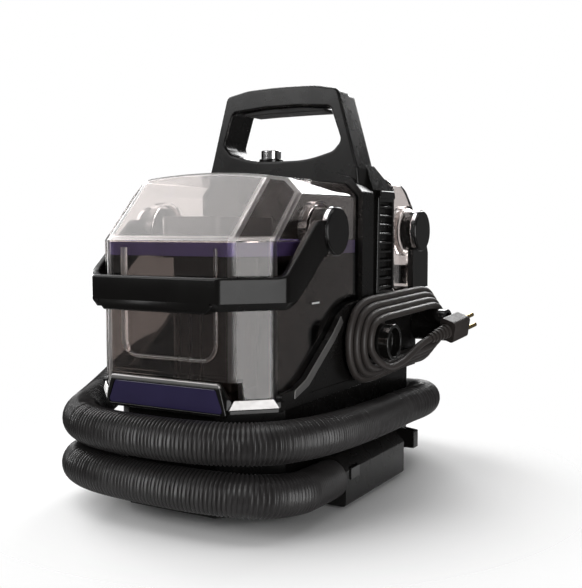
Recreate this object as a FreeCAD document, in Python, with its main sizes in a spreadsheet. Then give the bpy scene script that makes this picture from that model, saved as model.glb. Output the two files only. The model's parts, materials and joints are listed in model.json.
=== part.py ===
"""Portable spot extractor: dirty tank in front, central spine with the carry handle, clean tank
behind, suction hose wound round the base and the power cord wound on two posts on the right.

Frame: millimetres, X to the machine's right, Y to its back, Z up, origin on the floor under the
middle of the machine.
"""
import FreeCAD, Part
import math
import os
import re
import Sketcher

DOC = FreeCAD.newDocument("spot_extractor")
SHEET = DOC.addObject("Spreadsheet::Sheet", "Sizes")
NODES = []
VECTOR = FreeCAD.Vector
AXES = {"X": VECTOR(1, 0, 0), "Y": VECTOR(0, 1, 0), "Z": VECTOR(0, 0, 1)}

# ---------------------------------------------------------------- driving dimensions
SIZES = {
    # general
    "wall": 3, "gap": 0.4, "half_width": 92,
    # chassis and collar
    "chassis_low": 6, "collar_low": 98, "collar_top": 107, "collar_half": 96,
    "chassis_half": 90, "chassis_front": -177, "chassis_rear": 172, "chassis_corner": 44,
    "rear_corner": 32, "collar_front": -184, "collar_corner": 30, "foot_radius": 11,
    "plate_low": 102, "plate_high": 110,
    # pump
    "pump_y": 110, "pump_z": 42, "pump_radius": 16,
    # badge nose
    "nose_top": 124, "badge_low": 98.5, "badge_high": 119.5, "badge_half_low": 62, "badge_half_high": 54,
    # dirty tank
    "tank_front": -180, "tank_rear": 6, "tank_corner": 26, "tank_floor": 105, "knee": 242,
    "band_low": 229, "crease": 284, "crown_half": 79, "crown_edge": 297, "crown_top": 303,
    # clean tank
    "clean_front": 95, "clean_rear": 160, "clean_corner": 12, "clean_floor": 184, "clean_top": 305,
    "clean_round": 14, "neck_radius": 20.5,
    # vents
    "vent_low": 188, "vent_high": 280, "vent_near": 50, "vent_far": 84,
    # spine and handle
    "spine_front": 8, "spine_split": 34, "spine_rear": 92, "frame_half": 96, "frame_edge": 288,
    "handle_front": 12, "handle_rear": 57, "handle_top": 397.5,
    # side fairings and rear housing
    "fairing_in": 92.6, "fairing_out": 96, "fairing_rim": 97.6, "fairing_top": 182,
    # bail pivots
    "pivot_z": 250, "front_pivot_y": -70, "rear_pivot_y": 136, "pocket_radius": 24.5,
    "pocket_floor": 83, "pin_radius": 12, "hub_radius": 21.5, "cap_radius": 22.6,
    "hub_in": 85, "hub_out": 102, "cap_in": 102.4, "cap_out": 109.4, "fit": 0.05,
    # bails
    "bail_front": -201, "bail_half": 66, "bail_wide": 107, "bail_low": 185, "bail_high": 212.5,
    "bail_bevel": 6.5,
    "rear_bail_back": 201, "rear_bail_low": 186, "rear_bail_wide": 99.5,
    # power cord winding
    "cord_diameter": 7.3, "post_radius": 17.5, "post_front_y": 2, "post_front_z": 143,
    "post_rear_y": 150, "post_rear_z": 146, "wrap_in": 100, "wrap_step": 4.8, "wrap_fall": 6,
    "post_out": 134, "lip_reach": 43,
    # suction hose
    "hose_diameter": 36,
    # dock
    "dock_out": 124.7, "dock_front": -85, "dock_rear": 49,
}
for row, (alias, value) in enumerate(SIZES.items(), start=1):
    SHEET.set("A%d" % row, alias)
    SHEET.set("B%d" % row, str(value))
    SHEET.setAlias("B%d" % row, alias)
DOC.recompute()


def size(alias):
    """A driving dimension, read back from the sheet."""
    return float(SHEET.get(alias))


def bound(text):
    """An expression in driving dimensions, with each alias written as the sheet's own."""
    return re.sub(r"[a-z][a-z_]+", lambda word: "Sizes." + word.group() if word.group() in SIZES
                  else word.group(), str(text))


# ---------------------------------------------------------------- building helpers
def keep(thing, label):
    """Names an object and lists it as one of the machine's pieces."""
    thing.Label = label
    NODES.append(thing)
    return thing


def box(name, across, deep, high):
    """Part::Box between pairs of expressions along X, Y and Z."""
    block = DOC.addObject("Part::Box", name)
    for side, axis, (low, top) in zip(("Length", "Width", "Height"), "xyz", (across, deep, high)):
        block.setExpression(side, bound("(%s) - (%s)" % (top, low)))
        block.setExpression("Placement.Base." + axis, bound(low))
    return block


def rod(name, axis, centre, radius, low, top):
    """Part::Cylinder along an axis; the centre is given on the other two axes, in X, Y, Z order."""
    cylinder = DOC.addObject("Part::Cylinder", name)
    turns = {"X": FreeCAD.Rotation(VECTOR(0, 1, 0), 90), "Y": FreeCAD.Rotation(VECTOR(1, 0, 0), -90),
             "Z": FreeCAD.Rotation()}
    cylinder.Placement = FreeCAD.Placement(VECTOR(), turns[axis])
    cylinder.setExpression("Radius", bound(radius))
    cylinder.setExpression("Height", bound("(%s) - (%s)" % (top, low)))
    across = iter(centre)
    for letter in "XYZ":
        place = low if letter == axis else next(across)
        cylinder.setExpression("Placement.Base." + letter.lower(), bound(place))
    return cylinder


def fuse(name, *parts):
    joined = DOC.addObject("Part::MultiFuse", name)
    joined.Shapes = list(parts)
    joined.Refine = True
    return joined


def cut(name, base, *tools):
    """Part::Cut of one base by one or more tools."""
    result = DOC.addObject("Part::Cut", name)
    result.Base = base
    result.Tool = tools[0] if len(tools) == 1 else fuse(name + "_tools", *tools)
    result.Refine = True
    return result


def tube(name, axis, centre, outer, inner, low, top):
    """A round tube: one cylinder cut by a longer one."""
    skin = rod(name + "_skin", axis, centre, outer, low, top)
    bore = rod(name + "_bore", axis, centre, inner, "(%s) - 1" % low, "(%s) + 1" % top)
    return cut(name, skin, bore)


def attach(body, name, role, offset):
    """A sketch on one of a body's own origin planes, moved along the plane's normal."""
    plane = next(item for item in body.Origin.OriginFeatures if item.Role == role)
    sketch = body.newObject("Sketcher::SketchObject", name)
    sketch.AttachmentSupport = (plane, [""])
    sketch.MapMode = "FlatFace"
    sign = "-1" if role == "XZ_Plane" else "1"
    sketch.setExpression("AttachmentOffset.Base.z", bound("%s * (%s)" % (sign, offset)))
    return sketch


def draw(sketch, outline):
    """A closed outline; every corner's two coordinates are bound to expressions."""
    corners = [(bound(u), bound(v)) for u, v in outline]
    points = [VECTOR(*[float(sketch.evalExpression(text)) for text in corner]) for corner in corners]
    count = len(points)
    first = sketch.GeometryCount
    for number in range(count):
        line = Part.LineSegment(points[number], points[(number + 1) % count])
        sketch.addGeometry(line, False)
    for number in range(count):
        after = first + (number + 1) % count
        sketch.addConstraint(Sketcher.Constraint("Coincident", first + number, 2, after, 1))
    for number, (u, v) in enumerate(corners):
        for kind, text, value in (("DistanceX", u, points[number].x), ("DistanceY", v, points[number].y)):
            place = Sketcher.Constraint(kind, -1, 1, first + number, 1, value)
            index = sketch.addConstraint(place)
            sketch.setExpression("Constraints[%d]" % index, text)


def pad(body, role, outline, low, top):
    """Pads an outline between two expressions along the plane's axis."""
    sketch = attach(body, body.Name + "_outline_%d" % len(body.Group), role, low)
    draw(sketch, outline)
    feature = body.newObject("PartDesign::Pad", body.Name + "_pad_%d" % len(body.Group))
    feature.Profile = sketch
    feature.Reversed = role == "XZ_Plane"
    feature.setExpression("Length", bound("(%s) - (%s)" % (top, low)))
    return feature


def pocket(body, role, outline, low, top):
    """Cuts an outline out of a body between two expressions along the plane's axis."""
    DOC.recompute()
    before = body.Shape.Volume
    sketch = attach(body, body.Name + "_opening_%d" % len(body.Group), role, low)
    draw(sketch, outline)
    feature = body.newObject("PartDesign::Pocket", body.Name + "_pocket_%d" % len(body.Group))
    feature.Profile = sketch
    feature.Reversed = role != "XZ_Plane"
    feature.setExpression("Length", bound("(%s) - (%s)" % (top, low)))
    DOC.recompute()
    if body.Shape.Volume > before - 1:
        raise ValueError("%s: a pocket cut nothing" % body.Label)
    return feature


def body(name):
    return DOC.addObject("PartDesign::Body", name)


def feature(name, shape, place=None):
    """A Part::Feature holding a shape worked out in code, and where it stands."""
    thing = DOC.addObject("Part::Feature", name)
    thing.Shape = shape
    thing.Placement = place or FreeCAD.Placement()
    return thing


def point_in(role, u, v, depth):
    """A 3-D point from two in-plane coordinates and a depth."""
    return {"XY": VECTOR(u, v, depth), "XZ": VECTOR(u, depth, v), "YZ": VECTOR(depth, u, v)}[role]


def rounded_wire(corners, radius):
    """A closed wire through the corners, each corner replaced by a tangent arc."""
    edges = []
    ends = []
    count = len(corners)
    radii = radius if isinstance(radius, (list, tuple)) else [radius] * count
    for number, corner in enumerate(corners):
        back = (corners[number - 1] - corner).normalize()
        ahead = (corners[(number + 1) % count] - corner).normalize()
        half = back.getAngle(ahead) / 2
        if radii[number] < 0.01:
            ends.append((corner, corner, None))
            continue
        reach = radii[number] / math.tan(half)
        middle = corner + (back + ahead).normalize() * (radii[number] / math.sin(half) - radii[number])
        ends.append((corner + back * reach, corner + ahead * reach, middle))
    for number, (start, finish, middle) in enumerate(ends):
        if middle is not None:
            edges.append(Part.Arc(start, middle, finish).toShape())
        following = ends[(number + 1) % count][0]
        if finish.distanceToPoint(following) > 1e-4:
            edges.append(Part.LineSegment(finish, following).toShape())
    return Part.Wire(edges)


def slab(role, outline, radius, low, top):
    """A prism with rounded corners, from a list of (u, v) corners."""
    wire = rounded_wire([point_in(role, u, v, low) for u, v in outline], radius)
    axis = {"XY": "Z", "XZ": "Y", "YZ": "X"}[role]
    return Part.Face(wire).extrude(AXES[axis] * (top - low))


def disc(axis, centre, radius, low, top):
    """A plain cylinder shape along an axis, its centre given on the other two axes."""
    across = iter(centre)
    base = VECTOR(*[low if letter == axis else next(across) for letter in "XYZ"])
    return Part.makeCylinder(radius, top - low, base, AXES[axis])


def block(across, deep, high):
    """A plain box shape between pairs of coordinates."""
    corner = VECTOR(across[0], deep[0], high[0])
    return Part.makeBox(across[1] - across[0], deep[1] - deep[0], high[1] - high[0], corner)


def mirrored(outline):
    """An outline given on the right half, low to high, completed on the left."""
    return outline + [(-u, v) for u, v in reversed(outline)]


def soften(shape, radius, test):
    """Rounds the edges that a test picks."""
    return shape.makeFillet(radius, [edge for edge in shape.Edges if test(edge)])


def at(edge, axis, value):
    """True where an edge lies wholly in the plane axis = value."""
    low = getattr(edge.BoundBox, axis + "Min")
    high = getattr(edge.BoundBox, axis + "Max")
    return abs(low - value) < 0.05 and abs(high - value) < 0.05


def on_outside(edge):
    """True on the handle's outer contour, false round its hand opening."""
    return abs(edge.CenterOfMass.x) > 75 or edge.CenterOfMass.z > 380


# ---------------------------------------------------------------- chassis
def chassis_plan(half, front, rear, front_corner, back_corner):
    """Plan outline with cut corners, as expressions."""
    return [("-(%s)" % half, "(%s) + (%s)" % (front, front_corner)),
            ("-(%s) + (%s)" % (half, front_corner), front),
            ("(%s) - (%s)" % (half, front_corner), front),
            (half, "(%s) + (%s)" % (front, front_corner)),
            (half, "(%s) - (%s)" % (rear, back_corner)),
            ("(%s) - (%s)" % (half, back_corner), rear),
            ("-(%s) + (%s)" % (half, back_corner), rear),
            ("-(%s)" % half, "(%s) - (%s)" % (rear, back_corner))]


def make_chassis():
    shell = body("chassis_shell")
    plan = chassis_plan("chassis_half", "chassis_front", "chassis_rear", "chassis_corner", "rear_corner")
    inner = chassis_plan("chassis_half - wall", "chassis_front + wall", "chassis_rear - wall",
                         "chassis_corner - wall * 0.586", "rear_corner - wall * 0.586")
    pad(shell, "XY_Plane", plan, "chassis_low", "collar_low")
    pocket(shell, "XY_Plane", inner, "chassis_low", "collar_low - wall")
    tab = [("chassis_half - 1", "22"), ("dock_out", "22"), ("dock_out", "40"), ("chassis_half - 1", "44")]
    pad(shell, "XZ_Plane", tab, "76", "88")
    keep(shell, "chassis_shell")

    floor = body("chassis_floor")
    plate = chassis_plan("chassis_half - wall - gap", "chassis_front + wall + gap",
                         "chassis_rear - wall - gap", "chassis_corner - wall * 0.586",
                         "rear_corner - wall * 0.586")
    pad(floor, "XY_Plane", plate, "chassis_low", "chassis_low + wall")
    cradle = [("-36", "95"), ("26", "95"), ("26", "125"), ("-36", "125")]
    pad(floor, "XY_Plane", cradle, "chassis_low + wall", "pump_z - pump_radius - 0.2")
    keep(floor, "chassis_floor")

    tray = body("tank_tray")
    collar = chassis_plan("collar_half", "collar_front", "spine_front - gap", "collar_corner", "1")
    recess = chassis_plan("half_width + 0.6", "tank_front - 0.6", "spine_front + 1", "tank_corner", "1")
    pad(tray, "XY_Plane", collar, "collar_low + 0.2", "collar_top")
    pocket(tray, "XY_Plane", recess, "tank_floor - 0.5", "collar_top + 1")
    nose = [("-badge_half_low - 6", "collar_top - 1"), ("badge_half_low + 6", "collar_top - 1"),
            ("badge_half_low - 6", "nose_top"), ("-badge_half_low + 6", "nose_top")]
    pad(tray, "XZ_Plane", nose, "collar_front", "tank_front - 0.6")
    for sign in ("", "-"):
        corner = [(sign + "(collar_half + 1)", "collar_front - 1"),
                  (sign + "(collar_half + 1)", "collar_front + collar_corner + 4.3"),
                  (sign + "(collar_half - collar_corner - 4.3)", "collar_front - 1")]
        pocket(tray, "XY_Plane", corner, "plate_low - 0.1", "plate_high + 1")
    keep(tray, "tank_tray")


def make_feet():
    """Four round rubber feet with a shallow cup underneath, pressed to the floor plate."""
    feet = []
    for x in (-62, 62):
        for y in (-128, 132):
            foot = disc("Z", (x, y), size("foot_radius"), 0, size("chassis_low") - 0.1)
            foot = soften(foot, 1.5, lambda edge: at(edge, "Z", 0))
            feet.append(foot.cut(disc("Z", (x, y), 5, -1, 1.5)))
    keep(feature("rubber_feet", Part.makeCompound(feet)), "rubber_feet")


def make_floor_screws():
    """Pan-head screws that hold the floor plate to the chassis bosses."""
    screws = []
    for x in (-60, 0, 60):
        for y in (-95, -10, 75):
            top = size("chassis_low") + size("wall")
            head = disc("Z", (x, y), 3.6, top + 0.1, top + 2.2)
            screws.append(head.fuse(disc("Z", (x, y), 1.7, top + 2.2, top + 12)))
    keep(feature("floor_screws", Part.makeCompound(screws)), "floor_screws")


def badge_outline(inset):
    """The badge plate's trapezoid in XZ, shrunk by an inset."""
    half_low = size("badge_half_low") - inset
    half_high = size("badge_half_high") - inset
    low = size("badge_low") + inset
    high = size("badge_high") - inset
    return [(-half_low, low), (half_low, low), (half_high, high), (-half_high, high)]


def badge_ring():
    """The whole frame round the badge plate, rails and top rail together."""
    front = size("collar_front")
    low = size("badge_half_low") + 3
    high = size("badge_half_high") + 3.5
    foot, top = size("badge_low") - 2.6, size("nose_top")
    ring = slab("XZ", [(-low, foot), (low, foot), (high, top), (-high, top)], 2.5, front - 3.4, front - 0.2)
    ring = soften(ring, 1.2, lambda edge: at(edge, "Y", front - 3.4))
    return ring.cut(slab("XZ", badge_outline(0), 3, front - 5, front + 1))


def make_badge():
    """Dark frame and blank plate on the front nose, both trapezoids."""
    front = size("collar_front")
    below = block((-100, 100), (-200, -180), (80, size("badge_high") + 0.8))
    keep(feature("badge_frame", badge_ring().common(below)), "badge_frame")
    badge = slab("XZ", badge_outline(0.35), 3, front - 2.9, front - 0.3)
    keep(feature("badge_plate", badge), "badge_plate")


FAIRING_EDGE = [(-153, 113), (-131, 114), (-111, 121), (-60, 156), (-43, 171), (-24, 179.5)]


def corner_plate(sign):
    """Bright plate that leans on the collar's cut front corner; its foot is thicker and longer."""
    face = size("collar_half") - size("collar_front") - size("collar_corner")
    middle = size("collar_half") + size("collar_front")
    inner = face - 3.1

    def plan(height, outer, reach):
        corners = [(middle - reach, inner), (middle + reach, inner), (middle + reach, outer),
                   (middle - reach, outer)]
        points = [VECTOR(sign * (along + out) / 2, (along - out) / 2, height) for along, out in corners]
        return Part.makePolygon(points + points[:1])

    return Part.makeLoft([plan(size("plate_low"), face + 0.2, 31), plan(size("plate_high"), face - 2, 24)],
                         True, True)


def make_fairings():
    """Side fairings that rise from the collar to the rear deck, each with a raised edge."""
    low = size("collar_top") + 0.2
    top = size("fairing_top")
    for side, sign in (("right", 1), ("left", -1)):
        outline = [(-153, low)] + FAIRING_EDGE + [(0, top), (150, top), (150, low)]
        near, far, rim = [sign * size(name) for name in ("fairing_in", "fairing_out", "fairing_rim")]
        plate = slab("YZ", outline, [0, 3, 30, 30, 40, 30, 40, 60, 4, 4], *sorted((near, far)))
        upper = [(-152.5, 109)] + FAIRING_EDGE + [(0, top), (150, top)]
        lower = [(150, 166), (12, 166), (-12, 165), (-33, 158), (-52, 142), (-105, 107.5), (-131, 100)]
        radii = [0, 3, 30, 30, 40, 30, 40, 0, 0, 0, 20, 20, 20, 20, 20, 0]
        ridge = slab("YZ", upper + lower, radii, *sorted((near, rim)))
        ridge = ridge.common(block((-200, 200), (-200, 200), (low, 400)))
        keep(feature("side_fairing_" + side, plate.fuse(ridge).removeSplitter()), "side_fairing_" + side)


def make_trim():
    """Bright parts: a strip along each fairing's edge, the corner plates and the badge's top rail."""
    rim = size("fairing_rim")
    drop = 8
    upper = [(y, z - 0.4) for y, z in FAIRING_EDGE[1:5]]
    lower = [(y + drop * 0.57, z - 0.4 - drop * 0.82) for y, z in reversed(FAIRING_EDGE[2:5])]
    strip = upper + lower + [(FAIRING_EDGE[1][0] - 1, FAIRING_EDGE[1][1] - drop)]
    above = block((-100, 100), (-200, -180), (size("badge_high") + 0.9, 130))
    trim = [badge_ring().common(above)]
    for sign in (1, -1):
        trim.append(slab("YZ", strip, 0.8, *sorted((sign * (rim + 0.05), sign * (rim + 0.95)))))
        trim.append(corner_plate(sign))
    keep(feature("trim_strips", Part.makeCompound(trim)), "trim_strips")


def make_rear_housing():
    """Box behind the spine that carries the clean tank; it holds the pump and the cord."""
    housing = body("rear_housing")
    plan = [("-half_width", "spine_rear + gap"), ("half_width", "spine_rear + gap"),
            ("half_width", "chassis_rear - clean_corner"), ("half_width - clean_corner", "chassis_rear"),
            ("-half_width + clean_corner", "chassis_rear"), ("-half_width", "chassis_rear - clean_corner")]
    inner = [("-half_width + wall", "spine_rear + gap + wall"),
             ("half_width - wall", "spine_rear + gap + wall"),
             ("half_width - wall", "chassis_rear - clean_corner - wall * 0.414"),
             ("half_width - clean_corner - wall * 0.414", "chassis_rear - wall"),
             ("-half_width + clean_corner + wall * 0.414", "chassis_rear - wall"),
             ("-half_width + wall", "chassis_rear - clean_corner - wall * 0.414")]
    pad(housing, "XY_Plane", plan, "collar_low + 0.2", "fairing_top")
    pocket(housing, "XY_Plane", inner, "collar_low + 0.2", "fairing_top - wall")
    keep(housing, "rear_housing")


# ---------------------------------------------------------------- spine and handle
def frame_outline(inset):
    """The spine's front outline in XZ: it follows the dirty tank's section a little outside it."""
    wide = size("frame_half") - inset
    slim = size("half_width") - inset
    ledge = size("fairing_top") + 0.6 + inset
    return mirrored([(slim, size("collar_low") + 0.4 + inset), (slim, ledge), (wide, ledge),
                     (wide, size("frame_edge") - inset * 0.4),
                     (size("crown_half") + 4 - inset * 0.7, 303 - inset),
                     (40, 312 - inset)])


def handle_outline(inset):
    """The handle's outer outline in XZ."""
    return mirrored([(90 - inset, 290), (88 - inset, 312), (66 - inset, 391.5 - inset),
                     (40, 396.5 - inset), (10, size("handle_top") - inset)])


def opening_outline(outset):
    """The hand opening in XZ."""
    return mirrored([(30, 322 - outset), (60 + outset, 330 - outset), (69.5 + outset, 340 - outset),
                     (57.5 + outset, 374 + outset), (20, 377 + outset)])


def handle_ring(inset, front, rear):
    """The handle loop as a prism with its hand opening."""
    outer = slab("XZ", handle_outline(inset), [0, 10, 7, 60, 120, 120, 60, 7, 10, 0], front, rear)
    hole = slab("XZ", opening_outline(inset), [120, 12, 8, 6, 120, 120, 6, 8, 12, 120], front - 1, rear + 1)
    return outer.cut(hole)


def shoulder(sign):
    """The spine's side from the handle's foot, flaring down and back to the top of the vents."""
    def plan(height, near, far, front, rear):
        corners = [(near, front), (far, front), (far, rear), (near, rear)]
        points = [VECTOR(sign * x, y, height) for x, y in corners]
        return Part.makePolygon(points + points[:1])

    split = size("spine_split") + 0.2
    foot = size("vent_high") + 11.2
    root = Part.makeLoft([plan(foot - 8, 76, 91, split, 91), plan(foot, 76, 91, split, 89)], True, True)
    flare = Part.makeLoft([plan(foot, 76, 95.2, split, 89), plan(316, 74, 87, split, 54)], True, True)
    return root.fuse(flare)


BUTTON = (-24, 34)


def make_spine():
    front = size("spine_front")
    split = size("spine_split")
    rear = size("spine_rear")
    wall = size("wall")
    half = size("half_width") - 0.5
    frame = slab("XZ", frame_outline(0), [2, 0, 2, 5, 6, 30, 30, 6, 5, 2, 0, 2], front, split - 0.2)
    hollow = slab("XZ", frame_outline(wall), [0, 0, 0, 3, 4, 30, 30, 4, 3, 0, 0, 0], front + wall, split + 1)
    near = size("handle_front")
    handle = handle_ring(0, near, split - 0.2)
    handle = soften(handle, 2.5, lambda edge: at(edge, "Y", near) and edge.BoundBox.ZMax > 316)
    core = handle_ring(4, size("handle_front") + 4, split + 1)
    core = core.common(block((-100, 100), (0, 100), (316, 400)))
    well = disc("Z", BUTTON, 10.9, 320.8, 345)
    shell = frame.cut(hollow).fuse(handle).cut(core).cut(well).removeSplitter()
    keep(feature("spine_front_shell", shell), "spine_front_shell")

    column = [(half, size("collar_low") + 0.4), (half, 282), (half - 8, 291)]
    tower = slab("XZ", mirrored(column), 3, split + 0.2, rear)
    chamber = slab("XZ", mirrored([(half - wall, 101.5), (half - wall, 280.5), (half - 9.5, 288)]), 1,
                   split - 1, rear - wall)
    rim = size("handle_rear")
    back = handle_ring(2, split + 0.2, rim)
    back = soften(back, 5, lambda edge: at(edge, "Y", rim) and on_outside(edge))
    cavity = handle_ring(6.5, split - 1, rim - 5).common(block((-100, 100), (0, 100), (316, 400)))
    shell = tower.cut(chamber).fuse(back).fuse(shoulder(1)).fuse(shoulder(-1))
    shell = shell.cut(cavity).cut(well).removeSplitter()
    keep(feature("spine_rear_shell", shell), "spine_rear_shell")


def make_grip():
    """Soft insert that lines the underside of the handle bar."""
    low = size("handle_front") + 6
    high = size("handle_rear") - 8
    strip = mirrored([(20, 371.4), (46, 371), (48.5, 373.6), (20, 376.6)])
    pad_shape = slab("XZ", strip, [40, 1, 1, 60, 60, 1, 1, 40], low, high)
    keep(feature("handle_grip", soften(pad_shape, 1.0, lambda edge: at(edge, "Y", low))), "handle_grip")


def make_vents():
    """Vent columns on both sides of the spine: a capped border frame with a stack of louvres."""
    low, high = size("vent_low"), size("vent_high")
    near, far = size("vent_near"), size("vent_far")
    frames = []
    louvres = []
    for sign in (1, -1):
        base = sign * (size("half_width") - 0.4)
        face = sign * (size("half_width") + 3.4)
        outer = [(near - 5, low - 6), (far + 5, low - 6), (far + 3, high + 5), (near - 2, high + 5)]
        inner = [(near, low), (far, low), (far - 1, high), (near + 1.5, high)]
        border = slab("YZ", outer, 2, *sorted((base, face)))
        border = soften(border, 1.2, lambda edge: at(edge, "X", face))
        border = border.cut(slab("YZ", inner, 1, *sorted((base - sign, face + sign))))
        cap = [(near - 3, high + 3), (far + 4, high + 3), (far + 1, high + 11), (near + 2, high + 11)]
        lid = slab("YZ", cap, 1.5, *sorted((base, face + sign * 1.6)))
        lid = soften(lid, 1.0, lambda edge: at(edge, "X", face + sign * 1.6))
        frames.append(border.fuse(lid).removeSplitter())
        blades = 10
        pitch = (high - low) / blades
        for number in range(blades):
            foot = low + pitch * (number + 0.2)
            back, tip = base + sign * 0.2, face - sign * 0.5
            rise, lip = foot + pitch * 0.55, foot + pitch * 0.28
            profile = [(back, foot), (back, rise), (tip, lip), (tip, foot + 0.6)]
            blade = slab("XZ", profile, 0, near + 1.8, far - 1.6)
            louvres.append(blade)
    keep(feature("vent_frames", Part.makeCompound(frames)), "vent_frames")
    keep(feature("vent_louvres", Part.makeCompound(louvres)), "vent_louvres")


def make_power_button():
    """Round button in a bezel on the floor of the hand opening, over the switch."""
    bezel = disc("Z", BUTTON, 12.8, 316, 326).cut(disc("Z", BUTTON, 10.6, 316, 327))
    bezel = soften(bezel, 1.2, lambda edge: at(edge, "Z", 326) and edge.Curve.Radius > 12)
    floor = slab("XZ", opening_outline(-0.1), [120, 12, 8, 6, 120, 120, 6, 8, 12, 120], 0, 80)
    keep(feature("button_bezel", bezel.common(floor)), "button_bezel")
    cap = disc("Z", BUTTON, 10.5, 325.4, 335)
    keep(feature("power_button", soften(cap, 1.2, lambda edge: at(edge, "Z", 335))), "power_button")
    switch = box("power_switch", ("-35", "-13"), ("36", "58"), ("262", "284"))
    keep(switch, "power_switch")


# ---------------------------------------------------------------- motor, fan and pump
def make_motor():
    """Vertical suction motor in the spine: can, fan housing, fan and shaft."""
    x, y = 0, 62
    can = cut("motor_can", rod("can_skin", "Z", (x, y), "24", "168", "226"),
              rod("can_space", "Z", (x, y), "20", "175.6", "227"),
              rod("end_bearing", "Z", (x, y), "3", "171", "177"))
    keep(can, "motor_can")
    housing = cut("fan_housing", rod("fan_case", "Z", (x, y), "26.5", "226.4", "252"),
                  rod("fan_chamber", "Z", (x, y), "24.5", "229", "249"),
                  rod("fan_eye", "Z", (x, y), "9", "248", "253"),
                  rod("shaft_way", "Z", (x, y), "4", "226", "230"))
    keep(housing, "fan_housing")
    hub = disc("Z", (x, y), 7, 231, 246)
    plate = disc("Z", (x, y), 23.4, 231, 232.6)
    wheel = hub.fuse(plate)
    for number in range(9):
        blade = block((6, 23), (-0.6, 0.6), (232, 244))
        blade.rotate(VECTOR(), VECTOR(0, 0, 1), number * 40)
        blade.translate(VECTOR(x, y, 0))
        wheel = wheel.fuse(blade)
    wheel = wheel.common(disc("Z", (x, y), 23.4, 230, 247)).cut(disc("Z", (x, y), 3, 230, 247))
    keep(feature("fan_rotor", wheel.removeSplitter()), "fan_rotor")
    armature = fuse("motor_armature", rod("motor_shaft", "Z", (x, y), "2.95", "172", "247"),
                    rod("motor_windings", "Z", (x, y), "15", "180", "222"))
    keep(armature, "motor_armature")


def make_pump():
    """Vibrating water pump on the chassis floor: body with its inlet pipe, and the sprung plunger."""
    centre = ("pump_y", "pump_z")
    case = fuse("pump_outside", rod("pump_case", "X", centre, "pump_radius", "-40", "30"),
                rod("pump_inlet", "X", centre, "5", "-62", "-39"))
    keep(cut("pump_body", case, rod("pump_bore", "X", centre, "7", "-30", "31")), "pump_body")
    keep(rod("pump_plunger", "X", centre, "6.95", "-24", "12"), "pump_plunger")


# ---------------------------------------------------------------- dirty tank
def tank_form(inset):
    """The dirty tank's outer form, shrunk by an inset: cut corners, a 45 degree front slope and a crown."""
    half = size("half_width") - inset
    front = size("tank_front") + inset
    rear = size("tank_rear") - inset
    corner = size("tank_corner") - inset * (2 - math.sqrt(2))
    knee = size("knee") - inset * (math.sqrt(2) - 1)

    def plan(height, shift):
        corners = [(-half, rear), (-half, front + corner + shift), (corner - half, front + shift),
                   (half - corner, front + shift), (half, front + corner + shift), (half, rear)]
        points = [VECTOR(x, y, height) for x, y in corners]
        return Part.makePolygon(points + points[:1])

    rise = 75
    lower = Part.makeLoft([plan(size("tank_floor") + inset, 0), plan(knee, 0)], True, True)
    upper = Part.makeLoft([plan(knee, 0), plan(knee + rise, rise)], True, True)
    crown = size("crown_top") - inset
    edge = VECTOR(size("crown_half") - inset * 0.7, front - 5, size("crown_edge") - inset * 0.9)
    crease = VECTOR(half, front - 5, size("crease") - inset * 0.5)
    left_edge = VECTOR(-edge.x, edge.y, edge.z)
    left_crease = VECTOR(-half, crease.y, crease.z)
    feet = [VECTOR(half, front - 5, 90), VECTOR(-half, front - 5, 90)]
    arc = Part.Arc(edge, VECTOR(0, front - 5, crown), left_edge).toShape()
    rest = Part.makePolygon([left_edge, left_crease, feet[1], feet[0], crease, edge])
    section = Part.Face(Part.Wire([arc] + rest.Edges)).extrude(VECTOR(0, 220, 0))
    form = lower.fuse(upper).removeSplitter().common(section)
    notch = block((-72 - inset, 72 + inset), (-190, -174 + inset), (80, size("nose_top") + 0.6 + inset))
    return form.cut(notch)


def pivot_pockets(pivot_y, extra):
    """Round pockets in a tank's two side walls for the bail hubs."""
    floor = size("pocket_floor") - extra
    radius = size("pocket_radius") + extra
    centre = (pivot_y, size("pivot_z"))
    return [disc("X", centre, radius, floor, 120), disc("X", centre, radius, -120, -floor)]


def make_dirty_tank():
    wall = size("wall")
    pivot = size("front_pivot_y")
    outer = tank_form(0)
    inner = tank_form(wall)
    for hollow in pivot_pockets(pivot, 0):
        outer = outer.cut(hollow)
    for island in pivot_pockets(pivot, wall):
        inner = inner.cut(island)
    shell = outer.cut(inner)
    knee = size("knee")
    bucket = shell.common(block((-120, 120), (-220, 40), (0, knee - 0.15)))
    lid = shell.common(block((-120, 120), (-220, 40), (knee + 0.15, 400)))
    keep(feature("dirty_tank_bucket", bucket.removeSplitter()), "dirty_tank_bucket")
    keep(feature("dirty_tank_lid", lid.removeSplitter()), "dirty_tank_lid")

    ring = tank_form(wall + 0.4).cut(tank_form(wall + 3.4))
    ring = ring.common(block((-120, 120), (-220, 40), (size("band_low"), knee - 0.8)))
    for island in pivot_pockets(pivot, wall + 0.4):
        ring = ring.cut(island)
    keep(feature("tank_seal_band", ring.removeSplitter()), "tank_seal_band")

    plate = tank_form(wall + 3.8).common(block((-120, 120), (-220, 40), (knee - 4.5, knee - 1.5)))
    for island in pivot_pockets(pivot, wall + 3.8):
        plate = plate.cut(island)
    plate = plate.cut(block((-34, 34), (-150, -52), (200, 260)))
    keep(feature("splash_baffle", plate.removeSplitter()), "splash_baffle")


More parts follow.
